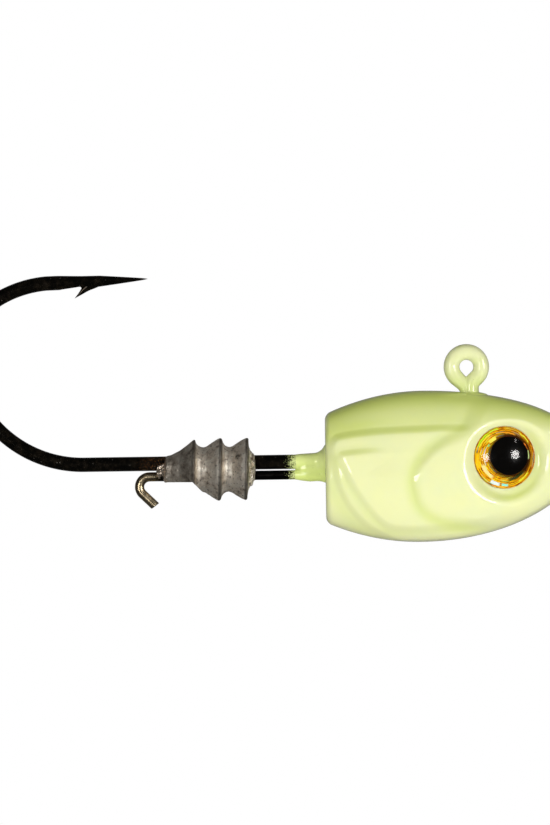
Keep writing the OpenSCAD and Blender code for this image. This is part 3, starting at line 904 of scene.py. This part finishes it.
def barb():
    """The sliver that the barb cut raises: a curved thorn, thick at its root."""
    back = spline([(-49.0, 11.35), (-49.44, 10.95), (-49.72, 10.5), (-50.05, 10.02), (-50.42, 9.54)], 6)
    front = spline([(-46.6, 11.3), (-47.7, 10.84), (-48.6, 10.5), (-49.45, 10.04), (-50.40, 9.55)], 6)
    t = np.linspace(0, 1, len(back))[:, None]
    wide = 0.46 * (1 - t) ** 0.8 + 0.012
    turn = circle(20)
    c, s = np.cos(turn), np.sin(turn)
    mid, reach = (back + front) / 2, (front - back) / 2
    return closed_rings("barb", np.stack([mid[:, :1] + reach[:, :1] * c, wide * s * (1 - 0.35 * c),
                                          mid[:, 1:] + reach[:, 1:] * c], -1))


def tag_path(coat=0.0):
    """The ring's loose end, curling down beside the riser until it nearly meets the head."""
    way = spline([(-1.32, -1.39), (-0.87, -1.82), (-0.45, -2.25), (-0.18, -2.72), (-0.05, -3.12)], 5)
    return np.column_stack([way, np.linspace(HOOK_R, 0.70, len(way)) + coat])


def chisel_cut(hook):
    """Flattens the limb's underside behind the barb, where the cut started."""
    co = coords(hook)
    x, z = co[:, 0], co[:, 2]
    floor = np.interp(x, [-53.6, -52.0, -49.6, -49.45], [10.3, 10.72, 11.06, 9.0])
    zone = (x > -53.4) & (x < -49.5) & (z > 9.9) & (z < floor)
    co[zone, 2] = floor[zone]
    set_coords(hook, co)


def build_hook():
    hook = sweep("hook_forging", hook_path(), 44)
    chisel_cut(hook)
    combine(hook, sweep("tag", tag_path()), "UNION")
    combine(hook, barb(), "UNION")
    shade(hook, 42)
    dress(hook, black_nickel())
    return hook


def build_keeper_wire():
    head_end, turn_to, leg_length, cut_from = -8.4, 226, 2.2, 1.9
    turn = arc(TAIL_AT, TAIL_R, 90, turn_to, 0.07)
    way = direction(math.radians(turn_to + 90))
    leg = turn[-1] + np.linspace(0.1, leg_length, 22)[:, None] * way
    path = join_path(line((head_end, KEEPER_WIRE_Z), (TAIL_AT[0], KEEPER_WIRE_Z), 0.4), turn,
                     np.vstack([turn[-1], leg]))
    tip = turn[-1] + np.array([leg_length + 0.03, leg_length + 0.05])[:, None] * way
    path = np.vstack([thick(path, KEEPER_R), np.column_stack([tip, [0.57, 0.5]])])
    wire = sweep("keeper_wire_drawn", path, 40, 40)
    # the cutter leaves the end slightly pinched and slanting
    co = coords(wire)
    along = (co[:, [0, 2]] - turn[-1]) @ way
    end = (co[:, 0] > -42) & (co[:, 2] < -15) & (along > cut_from)
    slant = (co[:, 0] + 40.4) * 0.22
    co[end, 0] += slant[end] * way[0]
    co[end, 2] += slant[end] * way[1]
    set_coords(wire, co)
    dress(wire, bronze_wire())
    return wire


# outline of the keeper: place along the shank and radius, with hollow valleys behind sharp crests
KEEPER_OUTLINE = np.array([
    (-40.2, 0.7), (-40.05, 1.0), (-39.85, 1.12), (-39.6, 1.08), (-39.42, 1.08), (-39.2, 1.4),
    (-38.95, 1.8), (-38.3, 1.96), (-37.2, 2.5), (-36.2, 3.28), (-35.62, 3.76), (-35.42, 3.9),
    (-35.3, 3.84), (-35.18, 3.45), (-34.95, 3.12), (-34.6, 2.93), (-34.2, 2.88), (-33.8, 3.0),
    (-33.2, 3.4), (-32.5, 3.86), (-32.14, 4.03), (-31.95, 4.04), (-31.82, 3.9), (-31.68, 3.45),
    (-31.45, 3.12), (-31.15, 2.93), (-30.8, 2.88), (-30.4, 3.0), (-29.9, 3.34), (-29.2, 3.78),
    (-28.72, 4.0), (-28.55, 4.02), (-28.42, 3.9), (-28.38, 3.3), (-28.3, 2.75), (-28.1, 2.3),
    (-27.9, 2.0), (-27.68, 1.78), (-27.5, 1.4), (-27.4, 0.8)])


def keeper_profile():
    """The keeper's outline in fine steps, with its corners slightly eased."""
    step = 0.085
    points = [KEEPER_OUTLINE[:1]]
    for a, b in zip(KEEPER_OUTLINE[:-1], KEEPER_OUTLINE[1:]):
        count = max(1, int(math.dist(a, b) / step))
        points.append(a + (b - a) * (np.arange(1, count + 1) / count)[:, None])
    places, radii = np.vstack(points).T
    radii = radii.copy()
    for _ in range(2):
        radii[1:-1] = (radii[:-2] + 4 * radii[1:-1] + radii[2:]) / 6
    return places, radii


def build_keeper():
    places, radii = keeper_profile()
    sides = 176
    turn = circle(sides)
    x = np.repeat(places[:, None], sides, 1)
    y = radii[:, None] * np.cos(turn)
    z = radii[:, None] * np.sin(turn)
    # the sprue cut: the first cone is flat underneath
    depth = np.interp(places, [-40.2, -35.5, -34.2, -33.6], [1.56, 1.56, 2.9, 6.0])[:, None]
    z = soft_max(z, -np.repeat(depth, sides, 1), 0.12)
    x = x + KEEPER_SHIFT + KEEPER_SKEW * z  # the rings were cast slightly out of square
    keeper = closed_rings("keeper_casting_lead", np.stack([x, y, z + KEEPER_Z], -1), 60)
    roughen(keeper, [(1.6, 0.035, 3.0), (0.55, 0.03, 8.0), (0.26, 0.014, 15.0)])
    # ragged ends where the lead ran thin in the mould
    co = coords(keeper)
    ends = np.maximum(smooth01(co[:, 0], -38.7, -39.3), smooth01(co[:, 0], -28.35, -27.9))
    ragged = np.array([noise.noise(Vector(p) / 0.42) for p in co]) * 0.3 * ends
    away = co - (0, 0, KEEPER_Z)
    away[:, 0] = 0
    set_coords(keeper, co + away * ragged[:, None])
    shade(keeper, 60)
    dress(keeper, bare_lead())
    return keeper


# ---- painted coats


def blob(centre, radii):
    """A smooth swelling, stretched by its three radii."""
    bm = bmesh.new()
    bmesh.ops.create_icosphere(bm, subdivisions=4, radius=1)
    mesh = bpy.data.meshes.new("blob")
    for v in bm.verts:
        v.co = Vector([(c + r * p) * MM for c, r, p in zip(centre, radii, v.co)])
    bm.to_mesh(mesh)
    bm.free()
    return link("blob", mesh)


def bar(name, z, rows, count=60, sides=36):
    """A bar along X at height z from rows of (x, radius), with every ring upright."""
    rows = np.array(rows)
    x = np.linspace(rows[0, 0], rows[-1, 0], count)[:, None]
    radius = np.interp(x, rows[:, 0], rows[:, 1])
    turn = circle(sides)
    return closed_rings(name, np.stack([np.repeat(x, sides, 1), radius * np.cos(turn),
                                        z + radius * np.sin(turn)], -1))


def build_tie_coat():
    coat, swell = 0.085, np.linspace(0, 1, 9)
    path = join_path(ring_path(0.12, 0.1), line((RISER_X, NECK_AT[1]), (RISER_X, -4.6), 0.1))
    loop = sweep("loop", thick(path, HOOK_R + coat), 32)
    tail = sweep("tail", tag_path(coat), 32)
    foot = blob((RISER_X, 0, -3.86), (2.3, 1.75, 0.62))
    collar = sweep("collar", np.column_stack([
        np.full(len(swell), RISER_X), -3.0 - 0.9 * swell, 0.98 + 0.75 * swell ** 2.4]), 32)
    skin = melt("line_tie_paint", [loop, tail, foot, collar], 0.075, 7, 0.012)
    dress(skin, glow_coat("glow_coat_ring", (0.77, 0.80, 0.45), (0.68, 0.76, 0.30), -3.6, 0.5))
    return skin


def build_collar_coat():
    parts = [
        bar("upper", SHANK_Z, [(-22.3, 0.90), (-22.0, 0.95), (-21.4, 1.0), (-20.6, 1.04), (-19.7, 1.08),
                               (-19.3, 1.18), (-18.95, 1.40), (-18.3, 1.9)]),
        bar("lower", KEEPER_WIRE_Z, [(-22.45, 0.56), (-21.9, 0.66), (-21.2, 0.78), (-20.4, 0.88),
                                     (-19.5, 0.84), (-18.9, 0.88), (-18.3, 1.1)]),
        bar("web", (SHANK_Z + KEEPER_WIRE_Z) / 2,
            [(-21.9, 0.5), (-21.6, 0.82), (-20.8, 0.98), (-18.3, 1.1)]),
        bar("flare", FLARE_Z, [(-19.35, 1.0), (-19.0, 1.2), (-18.8, 1.4), (-18.65, 1.6), (-18.5, 1.85),
                               (-18.34, 2.1), (-18.2, 2.15)], 90, 64),
    ]
    skin = melt("collar_paint", parts, 0.08, 14, 0.03)
    dress(skin, glow_coat("glow_coat_collar", (0.77, 0.86, 0.33), (0.70, 0.81, 0.25), -14, -11))
    return skin


# ---- eyes


def build_foil(name, middle, out, ahead):
    """The foil disc, with fine ridges pressed into it outside the pupil."""
    profile = [(0.02, -0.1), (FOIL_R, -0.1), (FOIL_R, -0.03)]
    for r in np.arange(3.93, 0.05, -0.04):
        ridge = 0.016 * math.sin(r * 12.5) if r > 2.3 else 0
        profile.append((r, -0.016 + ridge))
    foil = lathe(name, profile, middle, out, ahead, 128)
    rel = coords(foil) - middle
    attribute(foil, "eye_xy", np.column_stack([rel @ ahead, rel[:, 2], rel @ out]), "FLOAT_VECTOR")
    return foil


def build_dome(name, middle, out, ahead):
    """The resin dome: a short upright edge, then part of a sphere, down past the foil's face."""
    sphere, rise = 6.804, 5.204
    profile = [(0.02, -0.06), (3.99, -0.06), (EYE_R, -0.02), (EYE_R, 0.24), (3.985, 0.29)]
    for r in np.concatenate([np.linspace(3.955, 3.6, 8), np.linspace(3.5, 0.06, 34)]):
        profile.append((r, math.sqrt(sphere ** 2 - r * r) - rise))
    return lathe(name, profile, middle, out, ahead, 128)


def build_pupil(name, middle, out, ahead):
    """The printed pupil: a round with an uneven edge, and halftone dots at its lower front."""
    up = np.array([0, 0, 1.0])
    points, faces = [], []

    def disc(u, w, radius, top, count, wobble=0.0):
        base = len(points)
        for level in (0.004, top):
            for k in range(count):
                t = 2 * math.pi * k / count
                edge = Vector((3 * math.cos(t), 3 * math.sin(t), 4.2))
                r = radius * (1 + wobble * noise.noise(edge))
                place = ahead * (u + r * math.cos(t)) + up * (w + r * math.sin(t))
                points.append(middle + out * level + place)
        faces.append(tuple(range(base, base + count)))
        faces.append(tuple(range(base + 2 * count - 1, base + count - 1, -1)))
        for k in range(count):
            n = (k + 1) % count
            faces.append((base + k, base + n, base + count + n, base + count + k))

    disc(PUPIL_U, PUPIL_W, PUPIL_R, 0.04, 120, 0.015)
    dots = 96
    for row, (radius, size) in enumerate(((2.52, 0.062), (2.66, 0.050), (2.80, 0.036))):
        for k in range(dots):
            t = 2 * math.pi * (k + 0.5 * row) / dots
            near = 0.5 + 0.5 * math.cos(t - math.radians(-50))
            if near > 0.25 + 0.12 * row:
                u, w = PUPIL_U + radius * math.cos(t), PUPIL_W + radius * math.sin(t)
                disc(u, w, size * (0.5 + 0.5 * near), 0.03, 8)
    return make_object(name, np.array(points), faces, 30)


# ---- camera, light and floor


def point_at(obj, target):
    way = Vector(target) - obj.location
    obj.rotation_euler = way.to_track_quat("-Z", "Y").to_euler()


def build_camera():
    data = bpy.data.cameras.new("camera")
    camera = link("camera", data)
    distance, view_height = 1.6, 106.45 * MM
    data.sensor_width = 36
    data.lens = data.sensor_width * distance / view_height
    data.clip_start, data.clip_end = 0.1, 20
    # the jig hangs a little nose-up in the picture, so the camera rolls by the same angle
    camera.location = (-24.77 * MM, -distance, -5.54 * MM)
    camera.rotation_euler = (math.pi / 2, math.radians(0.83), 0)
    bpy.context.scene.camera = camera


def build_lamp(name, place, size, radiance, colour, seen=True):
    """A round soft light; place is in metres from the right eye, size is its diameter in metres."""
    data = bpy.data.lights.new(name, "AREA")
    data.shape, data.size, data.color = "DISK", size, colour
    data.energy = radiance * math.pi * math.pi * size * size / 4
    lamp = link(name, data)
    lamp.location = Vector((EYE_X, -EYE_FLOOR, EYE_Z)) * MM + Vector(place)
    point_at(lamp, (-20 * MM, 0, -10 * MM))
    lamp.visible_camera = False
    lamp.visible_glossy, lamp.visible_transmission = seen, False


def build_lights():
    reach = 0.8
    build_lamp("lamp_left", Vector((-0.418, -0.909, 0.003)) * reach, 0.22, 10.1, (1, 0.98, 0.97))
    build_lamp("lamp_right", Vector((0.650, -0.754, 0.091)) * reach, 0.25, 13.8, (1, 0.98, 0.96))
    build_lamp("lamp_small", Vector((0.642, -0.546, 0.537)) * reach, 0.07, 6.0, (1, 0.98, 0.95))
    build_lamp("front_fill", (-0.05, -1.2, 0.1), 4.0, 0.46, (1, 1, 0.98), seen=False)
    build_lamp("table_bounce", (-0.02, -0.1, -0.095), 0.5, 0.58, (1, 1, 0.97), seen=False)
    build_lamp("back_fill", (-0.1, 1.2, 0.25), 2.0, 0.8, (1, 1, 0.98), seen=False)


def build_world():
    """White behind the jig, and a dim room in its reflections that brightens towards +Y."""
    world = bpy.data.worlds.new("studio")
    bpy.context.scene.world = world
    world.use_nodes = True
    tree = world.node_tree
    tree.nodes.clear()

    def background(strength):
        node = tree.nodes.new("ShaderNodeBackground")
        node.inputs["Color"].default_value = (1, 1, 1, 1)
        node.inputs["Strength"].default_value = strength
        return node

    place = tree.nodes.new("ShaderNodeTexCoord")
    split = tree.nodes.new("ShaderNodeSeparateXYZ")
    tree.links.new(place.outputs["Generated"], split.inputs[0])
    behind = tree.nodes.new("ShaderNodeMapRange")
    behind.interpolation_type = "SMOOTHSTEP"
    for key, value in (("From Min", 0.35), ("From Max", 0.97), ("To Min", 0.03), ("To Max", 0.2)):
        behind.inputs[key].default_value = value
    tree.links.new(split.outputs["Y"], behind.inputs["Value"])
    room, white = background(0.0), background(1.0)
    tree.links.new(behind.outputs[0], room.inputs["Strength"])
    path = tree.nodes.new("ShaderNodeLightPath")
    blend = tree.nodes.new("ShaderNodeMixShader")
    tree.links.new(path.outputs["Is Camera Ray"], blend.inputs[0])
    tree.links.new(room.outputs[0], blend.inputs[1])
    tree.links.new(white.outputs[0], blend.inputs[2])
    out = tree.nodes.new("ShaderNodeOutputWorld")
    tree.links.new(blend.outputs[0], out.inputs["Surface"])


def build_floor():
    mesh = bpy.data.meshes.new("floor")
    reach, height = 1.4, -0.12
    corners = [(x * reach, y * reach, height) for x, y in ((-1, -1), (1, -1), (1, 1), (-1, 1))]
    mesh.from_pydata(corners, [], [(0, 1, 2, 3)])
    floor = link("floor", mesh)
    dress(floor, floor_card())
    floor.visible_glossy = floor.visible_transmission = False


# ---- assembly


def show(piece, slot, *nodes):
    """Hands a piece to the frame under the root body and hides the CAD nodes it redraws; the slot is
    not used.
    """
    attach(piece, "root")
    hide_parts(*nodes)


def main():
    build_camera()
    build_lights()
    build_world()
    build_floor()
    show(build_hook(), "black_nickel", "hook")
    show(build_head(), "glow_paint", "head_casting")
    show(build_keeper(), "bare_lead", "keeper_casting")
    show(build_keeper_wire(), "bronze_wire", "keeper_wire")
    show(build_tie_coat(), "glow_coat", "line_tie_coat")
    show(build_collar_coat(), "glow_coat", "collar_coat")
    foil_print, ink, resin, foam = gold_foil(), pupil_ink(), clear_resin(), adhesive_foam()
    for side, word in ((-1, "right"), (1, "left")):
        axes = eye_axes(side)
        foil = build_foil(f"eye_foil_print_{word}", *axes)
        pupil = build_pupil(f"eye_pupil_print_{word}", *axes)
        dome = build_dome(f"eye_dome_cast_{word}", *axes)
        dress(foil, foil_print)
        dress(pupil, ink)
        dress(dome, resin)
        show(foil, "gold_foil", f"eye_foil_{word}")
        show(pupil, "pupil_ink", f"eye_pupil_{word}")
        show(dome, "clear_resin", f"eye_dome_{word}")
        dress(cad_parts[f"eye_adhesive_{word}"], foam)
    bpy.context.scene.view_settings.view_transform = "Standard"
    bpy.context.scene.view_settings.look = "None"


main()
